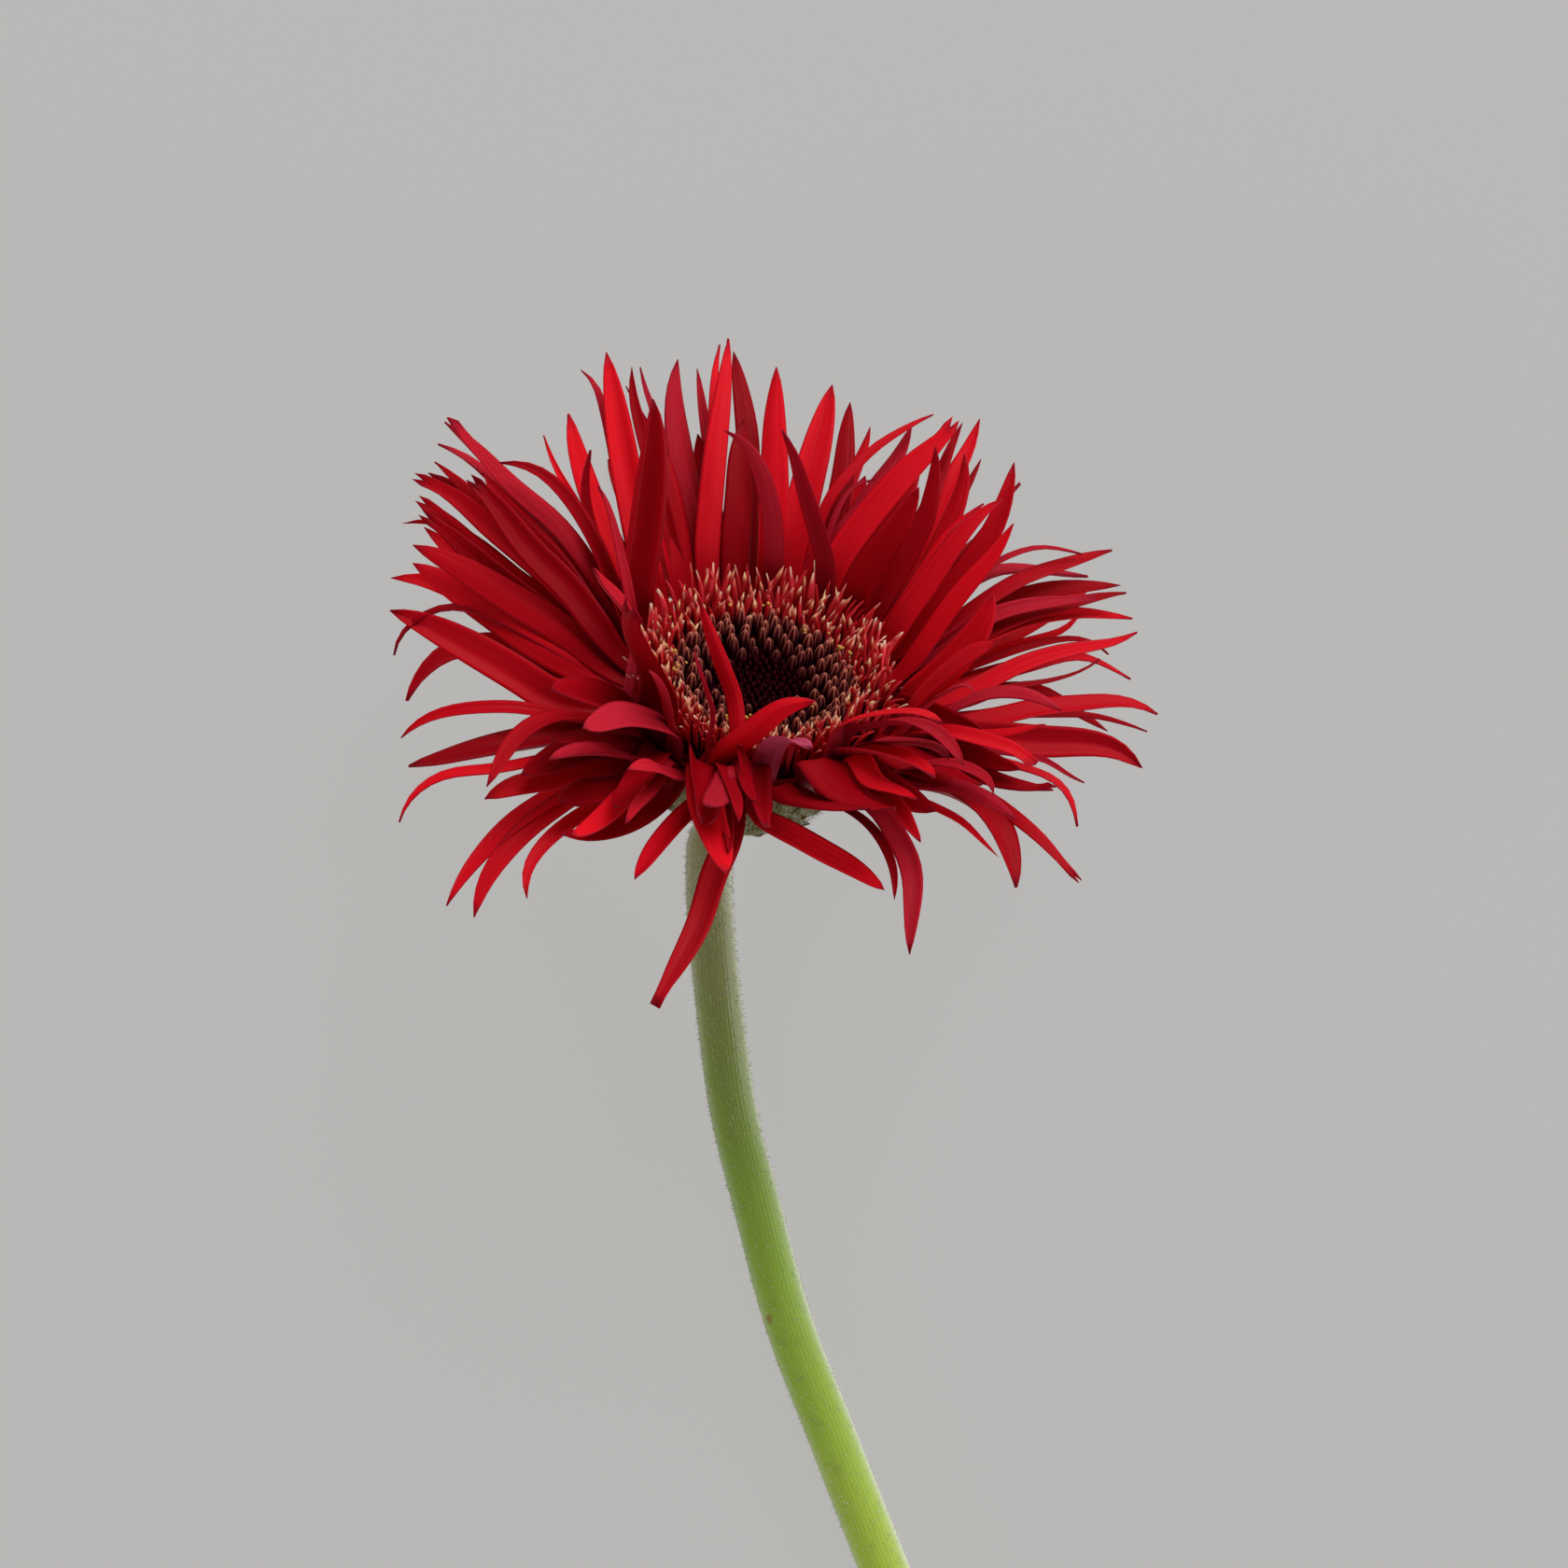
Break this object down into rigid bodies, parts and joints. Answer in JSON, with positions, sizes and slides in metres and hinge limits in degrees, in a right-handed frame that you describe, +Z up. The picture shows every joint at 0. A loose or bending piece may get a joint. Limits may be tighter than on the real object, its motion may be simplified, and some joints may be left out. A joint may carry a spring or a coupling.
{
  "type": "spider gerbera cut flower",
  "caption": "Cut spider gerbera lying on its side: narrow pointed red ray petals, a ring of florets round a dark heart, hairy green calyx and a bare curved stem.",
  "frame": {"origin": "centre of the bounding box's footprint, on the surface that the flower lies on", "axes": "+Z up, off the surface that the flower lies on; +Y along the flower, from the cut end of the stem to the head; +X to the right when looking down with the head at the top"},
  "size_m": [0.105, 0.2982, 0.079],
  "materials": {
    "petal": "satin petal skin, bright to deep red above and dusky rose below",
    "floret": "matt, red straps with cream and yellow tips",
    "bud": "matt, brown-pink ribbed buds with pale tips",
    "heart": "matt, near-black maroon",
    "calyx": "matt grey-green bracts with white hairs",
    "stem": "satin yellow-green skin, hairy and greyer near the head"
  },
  "bodies": {
    "root": {"ray_petals": "petal", "trans_florets": "floret", "disc_buds": "bud", "disc_heart": "heart", "calyx": "calyx", "stem": "stem"}
  },
  "joints": []
}
